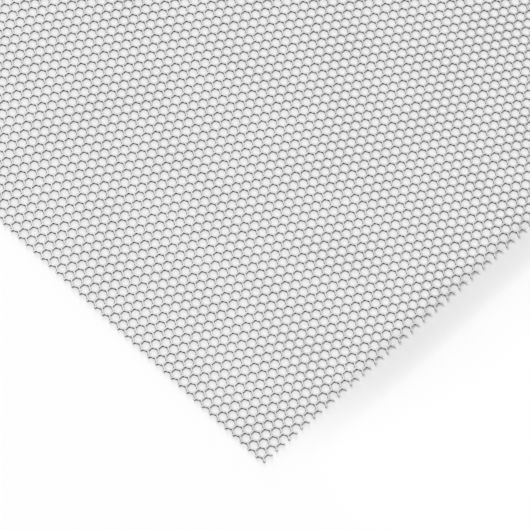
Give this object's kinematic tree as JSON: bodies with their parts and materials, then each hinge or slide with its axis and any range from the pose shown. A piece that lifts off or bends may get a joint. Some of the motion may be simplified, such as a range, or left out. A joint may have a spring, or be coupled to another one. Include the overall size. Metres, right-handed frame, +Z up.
{
  "type": "perforated metal sheet",
  "caption": "Thin flat sheet of bare light grey metal, punched all over with staggered hexagonal holes and cut straight through them at its edges.",
  "frame": {"origin": "centre of the sheet's underside", "axes": "+X along the rows of holes, +Y across the rows, +Z up through the thickness"},
  "size_m": [0.4, 0.35, 0.001],
  "materials": {
    "bare_aluminium": "bare mill finish, matte, with bright punched edges"
  },
  "bodies": {
    "root": {"sheet_band_01": "bare_aluminium", "sheet_band_02": "bare_aluminium", "sheet_band_03": "bare_aluminium", "sheet_band_04": "bare_aluminium", "sheet_band_05": "bare_aluminium", "sheet_band_06": "bare_aluminium", "sheet_band_07": "bare_aluminium", "sheet_band_08": "bare_aluminium", "sheet_band_09": "bare_aluminium", "sheet_band_10": "bare_aluminium", "sheet_band_11": "bare_aluminium", "sheet_band_12": "bare_aluminium", "sheet_band_13": "bare_aluminium", "sheet_band_14": "bare_aluminium", "sheet_band_15": "bare_aluminium", "sheet_band_16": "bare_aluminium", "sheet_band_17": "bare_aluminium", "sheet_band_18": "bare_aluminium", "sheet_band_19": "bare_aluminium", "sheet_band_20": "bare_aluminium", "sheet_band_21": "bare_aluminium", "sheet_band_22": "bare_aluminium", "sheet_band_23": "bare_aluminium", "sheet_band_24": "bare_aluminium", "sheet_band_25": "bare_aluminium", "sheet_band_26": "bare_aluminium", "sheet_band_27": "bare_aluminium", "sheet_band_28": "bare_aluminium", "sheet_band_29": "bare_aluminium", "sheet_band_30": "bare_aluminium", "sheet_band_31": "bare_aluminium", "sheet_band_32": "bare_aluminium", "sheet_band_33": "bare_aluminium", "sheet_band_34": "bare_aluminium"}
  },
  "joints": []
}
